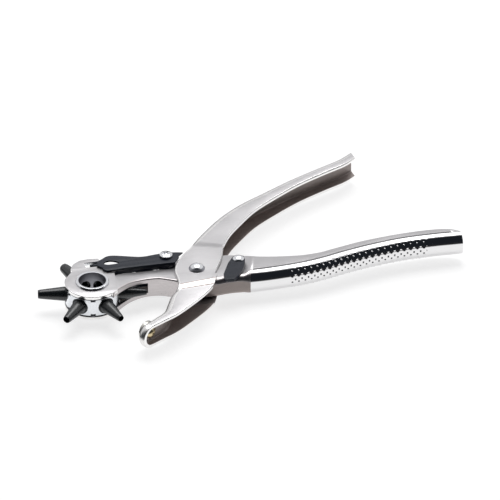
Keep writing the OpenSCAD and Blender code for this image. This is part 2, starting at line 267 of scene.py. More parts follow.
def copy_below(piece):
    """Adds the piece's mirror image below mid thickness to it."""
    bm = bmesh.new()
    bm.from_mesh(piece.data)
    twin = bmesh.ops.duplicate(bm, geom=bm.verts[:] + bm.edges[:] + bm.faces[:])["geom"]
    verts = [g for g in twin if isinstance(g, bmesh.types.BMVert)]
    faces = [g for g in twin if isinstance(g, bmesh.types.BMFace)]
    bmesh.ops.scale(bm, vec=(1, 1, -1), verts=verts)
    bmesh.ops.reverse_faces(bm, faces=faces)
    bm.to_mesh(piece.data)
    bm.free()
    smooth(piece)
    return piece


def along(bearing, origin=(0, 0)):
    """Matrix that turns +Z to a bearing in the XY plane and moves to a point."""
    turn = Matrix.Rotation(math.radians(bearing), 4, "Z") @ Matrix.Rotation(math.pi / 2, 4, "Y")
    return Matrix.Translation((origin[0], origin[1], 0)) @ turn


def at(point, height=0):
    """Matrix that moves to a point of the XY plane and a height."""
    return Matrix.Translation((point[0], point[1], height))


# ---------------------------------------------------------------- pressed channel arms

# Material numbers. The inside's material is a duller finish darkened further as painted shade. It
# also paints the turret arm's lower waist back dark as a painted reflection, and the anvil arm's
# step bends as painted shade lines. The tint material is a painted reflection on the turret arm's
# neck and the anvil arm's step.
SATIN, BACK, EDGE, INSIDE_AND_SHADE, REFLECTION_TINT = range(5)
NOSE_FOLD = 2.4                     # outer bend radius of the jaw's end
NOSE_AHEAD = 2.2                    # its middle lies this far beyond the anvil's axis
NOSE_DEPTH = 4.8

# Stations along the turret arm, from the pivot: back of the bend x and y, free edge x and
# y, half thickness, bend radius.
TURRET_ARM = [
    (-46.4, -12.4, -52.0, -5.0, 7.0, 0.5), (-42.0, -8.2, -44.8, 2.6, 6.9, 0.5),
    (-36.5, -4.3, -38.0, 5.6, 6.3, 0.5), (-31.0, -2.3, -31.3, 5.8, 5.8, 0.6),
    (-26.0, -1.6, -26.4, 6.0, 5.6, 0.7), (-20.0, -2.1, -19.0, 6.0, 5.6, 0.7),
    (-14.0, -4.9, -10.0, 5.5, 5.5, 0.7), (-5.5, -8.8, -3.0, 9.0, 5.4, 1.5),
    (6.0, -10.3, 7.0, 12.0, 5.4, 3), (15.0, -9.6, 18.0, 12.0, 5.4, 3),
    (22.4, -9.9, 28.0, 9.4, 5.4, 3), (25.2, -10.5, 31.2, 6.8, 6.5, 5),
    (34.0, -10.8, 36.5, 5.2, 6.5, 5), (46.0, -10.3, 45.6, 3.5, 6.5, 5),
    (57.0, -9.2, 56.0, 2.4, 6.5, 5), (68.0, -7.0, 65.6, 3.0, 6.5, 5),
    (78.0, -4.2, 75.4, 5.4, 6.5, 5), (92.5, -0.9, 90.6, 8.8, 6.5, 5),
    (110.0, 1.6, 109.0, 11.0, 6.5, 5), (126.0, 1.9, 125.5, 11.4, 6.5, 5),
    (136.0, 1.5, 135.4, 10.0, 6.5, 5), (141.0, 1.3, 140.8, 6.8, 6.5, 5)]

# The same along the anvil arm, from the nose to the end of its handle.
ANVIL_ARM = [
    (-36.2, -42.1, -33.3, -45.9, 6.5, NOSE_FOLD), (-29.6, -37.2, -25.7, -41.5, 6.5, 2.6),
    (-24.4, -32.6, -17.8, -36.9, 6.5, 3),
    (-20.9, -25.5, -8.0, -28.9, 6.5, 3), (-18.3, -20.0, 0.6, -21.0, 6.5, 3),
    (-15.0, -16.0, 5.8, -14.8, 6.6, 3), (-12.5, -12.6, 8.0, -10.2, 7.5, 0.6),
    (-11.6, -7.0, 9.0, -7.4, 7.5, 0.5), (-11.6, 0.0, 9.0, -4.4, 7.5, 0.5),
    (-9.6, 6.3, 10.6, -0.6, 7.5, 0.5), (-4.4, 14.2, 14.4, 7.0, 7.5, 0.5),
    (1.7, 21.0, 17.4, 16.4, 7.5, 0.5), (4.0, 26.6, 18.7, 20.4, 6.5, 2.4),
    (12.2, 37.0, 23.9, 29.3, 6.5, 3), (22.6, 47.7, 31.4, 38.4, 6.5, 3),
    (34.6, 56.9, 41.0, 48.6, 6.5, 3), (48.1, 64.6, 52.8, 57.5, 6.5, 3),
    (64.9, 73.7, 68.2, 67.6, 6.5, 2.6), (81.4, 81.4, 84.1, 75.7, 6.5, 2.4),
    (93.6, 87.0, 95.9, 81.1, 6.5, 2.4), (101.5, 92.4, 102.6, 86.0, 6.5, 2.4)]

GRIP_START, GRIP_END = 47.0, 122.0  # stretch of the turret arm's back that carries studs
STUD_PITCH = 3.5
STUD_ROW = 1.6
STUD_ROWS = 4                       # rows each side of the middle one
STUD_R = 0.62
STUD_H = 0.30
SEAM_START, SEAM_END = 25.5, 137.5  # groove between cheek and rounded back
SEAM_DEPTH = 0.3
JOGGLE_END = -10.0                  # the step below the pivot plate ends here
STEP_FOOT = 6.6                     # half thickness where the step starts to rise
STEP_TINT = 6.72, 7.4               # half thicknesses between which the step has the neck's tint, a painted reflection
WAIST_SHADE = 0.4                   # share of the section from which the waist's back is painted dark, a painted reflection


def smooth_curve(points, steps):
    """Catmull-Rom curve through all the points but without the last one itself."""
    rows = np.array(points, float)
    out = []
    for i in range(len(rows) - 1):
        a, b = rows[max(i - 1, 0)], rows[i]
        c, d = rows[i + 1], rows[min(i + 2, len(rows) - 1)]
        for t in np.arange(steps) / steps:
            out.append(0.5 * (2 * b + (c - a) * t + (2 * a - 5 * b + 4 * c - d) * t * t
                              + (3 * b - a - 3 * c + d) * t ** 3))
    return out


def dense_rows(stations):
    """Curved through the outline points; thickness and bend radius run straight."""
    per_span = 40
    rows = np.array(stations, float)
    out = np.array([*smooth_curve(stations, per_span), rows[-1]])
    spans = np.arange(len(rows)) * per_span
    for column in (4, 5):
        out[:, column] = np.interp(np.arange(len(out)), spans, rows[:, column])
    return out


def resample(rows, coarse, fine=None, fine_from=None, fine_to=None):
    """Rows at even steps along the back, with a finer step over one stretch in x."""
    run = np.concatenate([[0], np.cumsum(np.hypot(*np.diff(rows[:, :2], axis=0).T))])
    stops = list(np.arange(0, run[-1], coarse)) + [run[-1]]
    if fine:
        low = run[np.argmax(rows[:, 0] > fine_from)]
        high = run[np.argmax(rows[:, 0] > fine_to)]
        stops = [s for s in stops if s < low - fine or s > high + fine]
        stops = sorted(stops + list(np.arange(low, high, fine)))
    stops = np.array(stops)
    return np.column_stack([stops] + [np.interp(stops, run, rows[:, c])
                                      for c in range(rows.shape[1])])


def channel_section(depth, half, fold, bends, flats, seam):
    """Section of a pressed channel as matching outer and inner points (distance from the
    back, height), with the arc length from mid height and a material for each outer point."""
    edge = 0.45
    outer, arcs, kinds = [], [], []

    def add(point, arc, kind):
        outer.append(point)
        arcs.append(arc)
        kinds.append(kind)

    flat = half - fold
    seam_near, seam_far = (0.4, 0.75) if depth > fold + 1.3 else (0.01, 0.02)
    for k in range(4):
        a = math.pi / 6 * k
        add((depth - edge + edge * math.cos(a), half - edge + edge * math.sin(a)), 0,
            EDGE if k < 3 else SATIN)
    add((fold + seam_far, half), 0, SATIN)
    add((fold + seam_near, half - seam), 0, BACK)
    lead = len(outer)
    for k in range(bends + 1):
        a = math.pi / 2 * (1 - k / bends)
        arc = flat + fold * a
        add((fold - fold * math.cos(a), flat + fold * math.sin(a)), arc, BACK)
    for k in range(1, flats):
        z = flat * (1 - 2 * k / flats)
        add((0, z), z, BACK)
    for k in range(bends + 1):
        a = math.pi / 2 * k / bends
        add((fold - fold * math.cos(a), -flat - fold * math.sin(a)), -flat - fold * a, BACK)
    for point in reversed([(p[0], -p[1]) for p in outer[:lead]]):
        add(point, 0, SATIN)
    kinds[-3:] = [EDGE] * 3
    inner_fold = max(fold - SHEET, 0.25)
    deep = SHEET + inner_fold
    low = half - deep
    rim = min(0.25, (depth - deep) / 8)
    inner = [(depth, half - SHEET + 0.12), (depth - rim * 0.3, half - SHEET + 0.05),
             (depth - rim * 0.7, half - SHEET + 0.02), (depth - rim, half - SHEET),
             (deep + 0.04, half - SHEET), (deep + 0.02, half - SHEET)]
    for k in range(bends + 1):
        a = math.pi / 2 * (1 - k / bends)
        inner.append((deep - inner_fold * math.cos(a), low + inner_fold * math.sin(a)))
    for k in range(1, flats):
        inner.append((SHEET, low * (1 - 2 * k / flats)))
    for k in range(bends + 1):
        a = math.pi / 2 * k / bends
        inner.append((deep - inner_fold * math.cos(a), -low - inner_fold * math.sin(a)))
    inner += [(p[0], -p[1]) for p in reversed(inner[:lead])]
    return outer, arcs, kinds, inner


def stud_height(run, arc):
    """Height of the pressed grip studs at a place on the rolled-out back."""
    row = round(arc / STUD_ROW)
    if abs(row) > STUD_ROWS:
        return 0.0
    shift = STUD_PITCH / 2 if row % 2 else 0.0
    column = round((run - shift) / STUD_PITCH)
    away = math.hypot(run - shift - column * STUD_PITCH, arc - row * STUD_ROW) / STUD_R
    return STUD_H * (1 - away ** 2) ** 1.5 if away < 1 else 0.0


def channel(name, rows, bends, flats, studs=False):
    """Channel arm swept through its rows, closed at both ends."""
    rings, kinds = [], []
    for run, bx, by, fx, fy, half, fold in rows:
        back, across = np.array([bx, by]), np.array([fx - bx, fy - by])
        depth = max(np.linalg.norm(across), fold + 0.3)
        across = across / np.linalg.norm(across)
        seam = 0.0
        if studs and SEAM_START < bx < SEAM_END:
            seam = SEAM_DEPTH * min(1, bx - SEAM_START, SEAM_END - bx)
        outer, arcs, kinds, inner = channel_section(depth, half, fold, bends, flats, seam)
        ring = []
        for (deep, z), arc in zip(outer, arcs):
            if studs and arc and GRIP_START < bx < GRIP_END:
                rise = stud_height(run, arc)
                swing = (abs(arc) - (half - fold)) / fold
                lift = max(swing, 0)
                deep -= rise * math.cos(lift)
                z += math.copysign(rise * math.sin(lift), arc)
            ring.append((*(back + across * deep + PIVOT), z))
        for deep, z in reversed(inner):
            ring.append((*(back + across * deep + PIVOT), z))
        rings.append(ring)
    count = len(rings[0])
    faces, materials = [], []
    for i in range(len(rings) - 1):
        here, ahead = i * count, (i + 1) * count
        for j in range(count):
            k = (j + 1) % count
            faces.append((here + j, here + k, ahead + k, ahead + j))
            materials.append(face_kind(j, kinds, rows[i][1], rows[i][5], studs))
    for base in (0, (len(rings) - 1) * count):
        for j in range(count // 2 - 1):
            m = count - 1 - j
            faces.append((base + j, base + j + 1, base + m - 1, base + m))
            materials.append(EDGE)
    points = [p for ring in rings for p in ring]
    return with_slots(from_lists(name, points, faces, 30, materials))


def face_kind(j, kinds, back_x, half, studs):
    """Material of the face from point j of a section to the next one."""
    outer = len(kinds)
    if j in (outer - 1, 2 * outer - 1):
        return EDGE
    # Inner faces: a duller finish, darkened further as painted shade.
    if j >= outer:
        return INSIDE_AND_SHADE
    kind = kinds[j] if j < outer // 2 else kinds[j + 1]
    # The turret arm's back before the seam has the neck's tint, a painted reflection; right of the
    # pivot its lower part is painted dark, also a painted reflection.
    if kind == BACK and studs and back_x < SEAM_START:
        return INSIDE_AND_SHADE if back_x > 0 and j > outer * WAIST_SHADE else REFLECTION_TINT
    # The anvil arm's step below the pivot plate gets a painted reflection tint and painted shade
    # lines.
    if kind == SATIN and not studs and back_x < JOGGLE_END:
        return joggle_kind(half)
    return kind


def joggle_kind(half):
    """Painted reflection tint of the step below the pivot plate, with a fine line of painted shade
    at its top and bottom.
    """
    if STEP_TINT[0] < half <= STEP_TINT[1]:
        return REFLECTION_TINT
    return INSIDE_AND_SHADE if STEP_FOOT < half < PLATE_HALF else SATIN


def with_slots(piece):
    """Empty material slots, so that a Boolean keeps the material numbers of both meshes."""
    for _ in range(REFLECTION_TINT + 1):
        piece.data.materials.append(None)
    return piece


def pressed(piece):
    """Gives a flat plate satin faces and bright cut sides."""
    for polygon in piece.data.polygons:
        polygon.material_index = EDGE if abs(polygon.normal.z) < 0.8 else SATIN
    return with_slots(piece)


def shifted(points, by=PIVOT):
    return [(p[0] + by[0], p[1] + by[1], *p[2:]) for p in points]


def head_outline():
    """Round cheek of the turret arm with the tab that the index slot is cut in."""
    tab = [(7.6, -12.9), (11.4, -10), (13.0, 6), (7.8, 12.0, 0.8), (7.5, 20.6, 0.8),
           (2, 21.2), (-2.6, 20.7, 2), (-6.2, 18.2, 3), (-9, 13.6, 3)]
    arc = [(HEAD_R * math.cos(a), HEAD_R * math.sin(a))
           for a in np.radians(np.arange(158, 302, 3))]
    return fillet(tab, 0.5, 5) + arc


def circle(radius, steps, centre):
    """Outline of a round hole."""
    return [(centre[0] + radius * math.cos(a), centre[1] + radius * math.sin(a))
            for a in np.arange(steps) * 2 * math.pi / steps]


def build_turret_arm():
    """Channel with studs, joined to the round cheeks and the ears for the lever."""
    rows = resample(dense_rows(TURRET_ARM), 0.8, STUD_PITCH / 14, GRIP_START, GRIP_END)
    arm = channel("turret_arm_shell", rows, bends=32, flats=12, studs=True)
    slot_in = DRUM_R - 0.6
    slot = fillet([(-0.6, slot_in), (14, slot_in), (14, slot_in + 4.6),
                   (-0.6, slot_in + 4.6)], 0.4, 3)
    cheek = plate("cheek", head_outline(), CHEEK_IN, HEAD_HALF, bevel=0.22)
    combine(cheek, plate("slot", slot, 0, HEAD_HALF + 2, bevel=0.01), "DIFFERENCE")
    pressed(copy_below(cheek))
    ears = plate("ears", shifted([(-18, 2.4), (-6, 2.4), (-6, 14), (-9.5, 17.3), (-14, 18),
                                  (-17.2, 16), (-18, 13)]), EAR_HALF - SHEET, EAR_HALF,
                 bevel=0.1)
    pressed(copy_below(ears))
    drum_room = cylinder("drum_room", HEAD_R, -CHEEK_IN, CHEEK_IN, segments=96)
    root, tip = CONE_R + 0.2, 3.0       # half height of the window where the tubes pass
    sweep_room = lathe("sweep_room", [(0, -root), (DRUM_R + 1, -root), (TIP_REACH + 1, -tip),
                                      (TIP_REACH + 1, tip), (DRUM_R + 1, root), (0, root)],
                       segments=128)
    hub_hole = cylinder("hub_hole", HUB_R + 0.06, -FAR, FAR, segments=96)
    combine(arm, drum_room, "DIFFERENCE")
    combine(arm, cheek, "UNION")
    combine(arm, ears, "UNION")
    combine(arm, sweep_room, "DIFFERENCE")
    combine(arm, hub_hole, "DIFFERENCE", 30)
    return arm


def build_nose_end():
    """Half-round end of the jaw, turned about the anvil's axis."""
    inner, wall_in, depth, edge = NOSE_FOLD - SHEET, JAW_HALF - SHEET, NOSE_DEPTH, 0.4
    outline = [(0, 0)]
    for a in np.radians(np.arange(270, 361, 10)):
        outline.append((JAW_HALF - NOSE_FOLD + NOSE_FOLD * math.cos(a),
                        NOSE_FOLD + NOSE_FOLD * math.sin(a)))
    outline += [(JAW_HALF, depth - edge), (JAW_HALF - 0.13 * edge, depth - 0.5 * edge),
                (JAW_HALF - 0.5 * edge, depth - 0.13 * edge), (JAW_HALF - edge, depth),
                (wall_in, depth)]
    for a in np.radians(np.arange(360, 269, -15)):
        outline.append((wall_in - inner + inner * math.cos(a), NOSE_FOLD + inner * math.sin(a)))
    outline.append((0, SHEET))
    place = anvil_place() @ Matrix.Translation((0, -NOSE_AHEAD, ANVIL_T))
    cup = lathe("nose_end", outline, place, 96)
    # A square box cuts off the other half. Its half width is 14.1421 mm and it moves a hair
    # less than that, so that the cut misses the cup's own points.
    box_place = place @ Matrix.Translation((0, 14.142, 0)) @ Matrix.Rotation(math.pi / 4, 4, "Z")
    combine(cup, cylinder("box", 20, -10, 10, box_place, 4), "DIFFERENCE")
    inward = place.to_3x3() @ Vector((0, 0, 1))
    axis_point = place.translation
    for polygon in cup.data.polygons:
        away = Vector(polygon.center) / MM - axis_point
        level = away.dot(inward)
        radius = (away - inward * level).length
        if polygon.normal.dot(inward) > 0.85 and level > SHEET + 1:
            polygon.material_index = EDGE
        # The cup's inside takes the inside's duller finish with painted shade.
        elif radius < JAW_HALF - 0.9 and level > SHEET - 0.2:
            polygon.material_index = INSIDE_AND_SHADE
        else:
            polygon.material_index = BACK
    return with_slots(cup)


def build_anvil_arm():
    """Channel with its rounded jaw end, opened where the other arm passes at the pivot."""
    rows = resample(dense_rows(ANVIL_ARM), 0.8)
    arm = channel("anvil_arm_shell", rows, bends=12, flats=4)
    combine(arm, build_nose_end(), "UNION", 30)
    room = shifted([(-30, -11.2), (-15.2, -14.4), (-4, -16), (9.6, -14), (30, -5), (30, 17),
                    (17.8, 18.2), (6, 22.4), (0.4, 24.8), (-30, 24)])
    inner = PLATE_HALF - SHEET
    combine(arm, plate("pivot_room", room, -inner, inner, bevel=0.01), "DIFFERENCE", 30)
    notch = cylinder("notch", 1.2, -FAR, FAR, at(PIVOT + (9.6, -5.6)), 24)
    combine(arm, notch, "DIFFERENCE", 30)
    return arm


# ---------------------------------------------------------------- turret


def build_tube(number):
    """Punch tube with its cutting tip, cone, collar and shank."""
    bore = HOLES[number] / 2
    seat = POCKET_FLOOR + HAIR
    inner_end = HUB_R + 0.4
    outline = [(bore, TIP_REACH, 0), (bore + 0.12, TIP_REACH, 0.03),
               (bore + 0.4, TIP_REACH - 1.2, 0.4), (CONE_R, DRUM_R + 0.6, 0.5),
               (CONE_R, DRUM_R - 0.2, 0.1), (COLLAR_R, DRUM_R - 0.2, 0.25),
               (COLLAR_R, seat, 0.05), (SHANK_R, seat, 0), (SHANK_R, inner_end, 0.1),
               (2.6, inner_end, 0.1), (bore + 0.25, TIP_REACH - 6, 0.2),
               (bore, TIP_REACH - 4, 0.2)]
    return lathe(f"punch_tube_{number + 1}_finished", fillet(outline, 0.1),
                 along(FIRST_TUBE + TUBE_PITCH * number))


def build_drum():
    """Drum with a pocket for each tube and index notches between them."""
    inner = HUB_R + HAIR
    outline = fillet([(inner, -DRUM_HALF), (DRUM_R, -DRUM_HALF), (DRUM_R, DRUM_HALF),
                      (inner, DRUM_HALF)], 0.3)
    drum = lathe("turret_drum_finished", outline, segments=120)
    for k in range(len(HOLES)):
        bearing = FIRST_TUBE + TUBE_PITCH * k
        pocket = fillet([(0, 4), (SHANK_R + HAIR, 4, 0), (SHANK_R + HAIR, POCKET_FLOOR, 0.1),
                         (COLLAR_R + 0.3, POCKET_FLOOR, 0.4), (COLLAR_R + 0.3, DRUM_R + 1, 0),
                         (0, DRUM_R + 1, 0)], 0)
        combine(drum, lathe("pocket", pocket, along(bearing)), "DIFFERENCE", 30)
        turn = Matrix.Rotation(math.radians(bearing + TUBE_PITCH / 2), 4, "Z")
        rim = turn @ Matrix.Translation((DRUM_R + 0.4, 0, 0))
        for low, high in ((COLLAR_R - 0.6, 9), (-9, 0.6 - COLLAR_R)):
            notch = cylinder("notch", 1.4, low, high, rim, 32)
            combine(drum, notch, "DIFFERENCE", 30)
    return drum


def build_hub():
    """Tube with rounded rims, a port to each punch and a darker bore."""
    lip = HUB_HALF - 0.35
    waist = PORT_R + 0.5
    half = [(HUB_BORE, waist + 0.3, 0.2), (HUB_BORE, HUB_HALF, 0.35),
            (HUB_R - 0.3, HUB_HALF, 0.3), (HUB_R, lip, 0.25)]
    outline = ([(HUB_BORE + 0.3, waist, 0.1)] + half
               + [(r, -h, f) for r, h, f in reversed(half)] + [(HUB_BORE + 0.3, -waist, 0.1)])
    hub = lathe("turret_hub_finished", fillet(outline, 0.2, 5), segments=120)
    for k in range(len(HOLES)):
        port = cylinder("port", PORT_R, 4, DRUM_R, along(FIRST_TUBE + TUBE_PITCH * k), 48)
        combine(hub, port, "DIFFERENCE", 30)
    for polygon in hub.data.polygons:
        away = math.hypot(*polygon.center[:2]) / MM
        polygon.material_index = 1 if away < HUB_BORE + 0.4 else 0
    return hub


def ring_outline(r_out, r_in, low, high, edge):
    return fillet([(r_in, low), (r_out, low), (r_out, high), (r_in, high)], edge, 3)


def pair_of_rings(name, r_out, r_in, low, high, place=None):
    return copy_below(lathe(name, ring_outline(r_out, r_in, low, high, 0.05), place, 72))


# ---------------------------------------------------------------- rivets, screw and anvil


def build_pivot_rivet():
    """Rivet with two domed heads and a rim painted darker as painted shade."""
    radius, height, seat = 4.2, 2.5, PLATE_HALF + 0.05
    top = ([(3.5, seat - 0.1), (3.5, seat), (radius - 0.15, seat), (radius, seat + 0.12)]
           + dome_profile(radius - 0.03, height - 0.15, seat + 0.15, 14))
    outline = [(r, -h) for r, h in reversed(top)] + top
    rivet = lathe("pivot_rivet_finished", outline, at(PIVOT), 72, closed=False)
    # Faces near the rim take the darker bore material, a painted shade ring.
    for polygon in rivet.data.polygons:
        away = math.hypot(*(np.array(polygon.center[:2]) / MM - PIVOT))
        polygon.material_index = 1 if away > radius - 0.9 else 0
    return rivet


def build_screw():
    """Domed screw with a cross recess."""
    seat, head, rise = LEVER_HALF + 0.03, 3.3, LEVER_HALF + 0.6
    tail = -LEVER_HALF - 1.6
    outline = ([(0, tail), (1.55, tail), (1.75, tail + 0.2), (1.75, seat), (2.5, seat),
                (2.5, rise), (head - 0.15, rise), (head, rise + 0.15), (head, rise + 0.4)]
               + dome_profile(head - 0.02, 0.95, rise + 0.45, 12))
    screw = lathe("lever_screw_finished", outline, at(SCREW), 72, closed=False)
    cross = []
    wide, thick = 1.9, 0.42
    for k in range(4):
        a = math.radians(45 + 90 * k)
        out, side = np.array([math.cos(a), math.sin(a)]), np.array([-math.sin(a), math.cos(a)])
        cross += [tuple(out * wide - side * thick * 0.8), tuple(out * wide + side * thick * 0.8),
                  tuple(out * thick + side * thick)]
    recess = plate("recess", shifted(cross, SCREW), rise + 0.35, rise + 3, bevel=0.01)
    combine(screw, recess, "DIFFERENCE", 30)
    return screw


def build_nut():
    outline = [(3.5 * math.cos(a), 3.5 * math.sin(a)) for a in np.radians(np.arange(0, 360, 60))]
    return plate("lever_nut_finished", shifted(fillet(outline, 0.25, 3), SCREW),
                 -LEVER_HALF - 1.9, -LEVER_HALF - 0.1, [circle(1.77, 48, SCREW)], 0.2)


def build_latch_rivet():
    """Rivet through the latch and the upper side of the turret arm."""
    tail, seat = 3.35, LATCH_LOW + LATCH_SHEET
    outline = ([(0, tail - 0.8), (2.25, tail - 0.8), (2.4, tail - 0.65), (2.4, tail),
                (1.5, tail), (1.5, seat), (2.8, seat + 0.05), (3.0, seat + 0.2)]
               + dome_profile(2.98, 1.15, seat + 0.22, 12))
    return lathe("latch_rivet_finished", outline, at(LATCH), closed=False)


def anvil_place():
    """Matrix that puts +Z along the anvil's axis away from the turret, face at z = 0."""
    foot = next(m for m in RECORD["mounts"] if m["name"] == "anvil_face")["pos_m"]
    return along(WORK_ANGLE, (foot[0] / MM, foot[1] / MM))


def build_anvil_disc():
    inner = RIVET_SHANK + HAIR
    outline = fillet([(inner, 0, 0.05), (ANVIL_R - 0.5, 0, 0.2), (ANVIL_R, 0.5, 0.3),
                      (ANVIL_R, ANVIL_T, 0.25), (inner, ANVIL_T, 0.05)], 0.2, 5)
    return lathe("anvil_disc_finished", outline, anvil_place(), 96)


def build_anvil_rivet():
    """Rivet flush with the anvil's face, with a hollowed head on the far side."""
    head = ANVIL_T + SHEET + 0.2
    dome = [p for p in dome_profile(3.2, 1.3, head, 14) if p[0] > 0.75]
    outline = ([(0, 0.05), (RIVET_SHANK - 0.1, 0.05), (RIVET_SHANK, 0.15),
                (RIVET_SHANK, head), (3.15, head - 0.02)]
               + dome + [(0.6, head + 1.1), (0.45, head + 0.8), (0, head + 0.7)])
    return lathe("anvil_rivet_finished", outline, anvil_place(), closed=False)


# ---------------------------------------------------------------- index lever and latch

LEVER_TOP = [(-49.9, 12.9), (-48.6, 16.5), (-46.1, 18.3), (-43.3, 20.1), (-40, 20.2),
             (-35.1, 18.8), (-30, 17.1), (-25, 16), (-16.3, 16.8), (-9.3, 16.6), (-4.1, 15.5)]
LEVER_END = [(-6.4, 12.3), (-9, 8.5)]
LEVER_LOW = [(-9.9, 7.2), (-17.2, 7.3), (-28.5, 7.4), (-36.4, 7.4), (-41.5, 6.9)]
LEVER_NOSE = [(-45.6, 6.8), (-48.3, 9.4)]
WEB_START, WEB_END = -29, -19.6     # stretch in x where a web joins the lever's two sides
LEVER_EYE = [(-46.4, 13.7), (-44.9, 15.3), (-42.5, 15.7), (-39.9, 14.7), (-38.3, 12.9),
             (-41.3, 12.4), (-44.3, 12.5)]


def build_lever():
    """Two sides outside the head's cheeks with a lip along the lower edge, joined by a back."""
    outline = (smooth_curve(LEVER_TOP, 6) + LEVER_TOP[-1:]
               + fillet(LEVER_END + LEVER_LOW + LEVER_NOSE, 0.6, 3))
    eye = smooth_curve(LEVER_EYE + LEVER_EYE[:1], 5)
    bore = circle(1.8, 40, SCREW)
    side = plate("index_lever_finished", shifted(outline), LEVER_IN, LEVER_HALF,
                 [shifted(eye), bore], 0.3)
    lip = LEVER_LOW + [(x, y + LEVER_SHEET) for x, y in LEVER_LOW[::-1]]
    combine(side, plate("lip", shifted(lip), EAR_HALF + 0.2, LEVER_IN + 0.4, bevel=0.15),
            "UNION")
    tooth = plate("tooth", shifted([(-46.3, 13.7), (-50, 13.7), (-51.8, 14.15), (-53.3, 14.3),
                                    (-53.1, 15.1), (-46.3, 15.4)]),
                  EAR_HALF - 0.1, LEVER_IN + 0.4, bevel=0.2)
    combine(side, tooth, "UNION", 40)
    copy_below(side)
    top = np.array(smooth_curve(LEVER_TOP, 8))
    keep = top[(top[:, 0] > WEB_START) & (top[:, 0] < WEB_END)]
    web = [*(keep - (0, 0.05)), *(keep[::-1] - (0, 0.05 + LEVER_SHEET))]
    back = plate("lever_back", shifted(web), -LEVER_IN - 0.3, LEVER_IN + 0.3, bevel=0.05)
    combine(side, back, "UNION", 40)
    return side


def build_latch():
    """Flat plate with a round dent to push it by."""
    outline = [(16.9, 2.3, 1.2), (20.6, 7.6, 1), (23.6, 8.4, 1), (26, 7.2, 1.2), (26.3, 4.4, 1.5),
               (25.2, -0.2, 2), (23.5, -4.5, 2), (19.6, -10.4, 1), (16.8, -13.4, 0.8),
               (11.8, -12.8, 0.8), (12.6, -7, 2)]
    top = LATCH_LOW + LATCH_SHEET
    latch = plate("latch_finished", shifted(fillet(outline, 1, 5)), LATCH_LOW, top,
                  [circle(1.55, 40, LATCH)], 0.25)
    dent = lathe("dent", dome_profile(1.5, 0.62, 0) + [(0, 0)],
                 at(PIVOT + (17.1, -8), top) @ Matrix.Rotation(math.pi, 4, "X"), 40,
                 closed=False)
    combine(latch, dent, "DIFFERENCE", 30)
    return latch


def torsion_spring(name, centre, wire, coil, start, total, height, in_leg, out_leg):
    """Wire coil from one bearing through a total angle, with a tangent leg at each end. Wire
    and coil are radii."""
    steps = int(total / 9)              # one ring of points every 9 degrees
    centres = []
    for k in range(-1, steps + 2):
        share = min(max(k / steps, 0), 1)
        a = math.radians(start + total * share)
        ahead = -in_leg if k < 0 else out_leg if k > steps else 0
        point = np.array([coil * math.cos(a) - ahead * math.sin(a) + centre[0],
                          coil * math.sin(a) + ahead * math.cos(a) + centre[1],
                          height * (share - 0.5)])
        centres.append((point, a))
    sides = 12
    points, faces = [], []
    for point, a in centres:
        for j in range(sides):
            b = 2 * math.pi * j / sides
            points.append((point[0] + wire * math.cos(b) * math.cos(a),
                           point[1] + wire * math.cos(b) * math.sin(a),
                           point[2] + wire * math.sin(b)))
    for here in range(0, len(points) - sides, sides):
        for j in range(sides):
            k = (j + 1) % sides
            faces.append((here + j, here + k, here + sides + k, here + sides + j))
    faces.append(tuple(range(sides)))
    faces.append(tuple(range(len(points) - sides, len(points))))
    return from_lists(name, points, faces, 50)


# ---------------------------------------------------------------- materials

SLOW_SCALE = 55                     # the slow change has features of about 18 mm
SLOW_SHARE = 0.45
NOISE_LOW, NOISE_HIGH = 0.3, 0.7    # nearly all of the noise lies between these
RELIEF = 0.0002


def new_material(name):
    material = bpy.data.materials.new(name)
    material.use_nodes = True
    return material, material.node_tree.nodes, material.node_tree.links


def principled(material, colour, metallic, roughness, **extra):
    shader = material.node_tree.nodes["Principled BSDF"]
    shader.inputs["Base Color"].default_value = (*colour, 1)
    shader.inputs["Metallic"].default_value = metallic
    shader.inputs["Roughness"].default_value = roughness
    for key, value in extra.items():
        shader.inputs[key.replace("_", " ")].default_value = value
    return shader


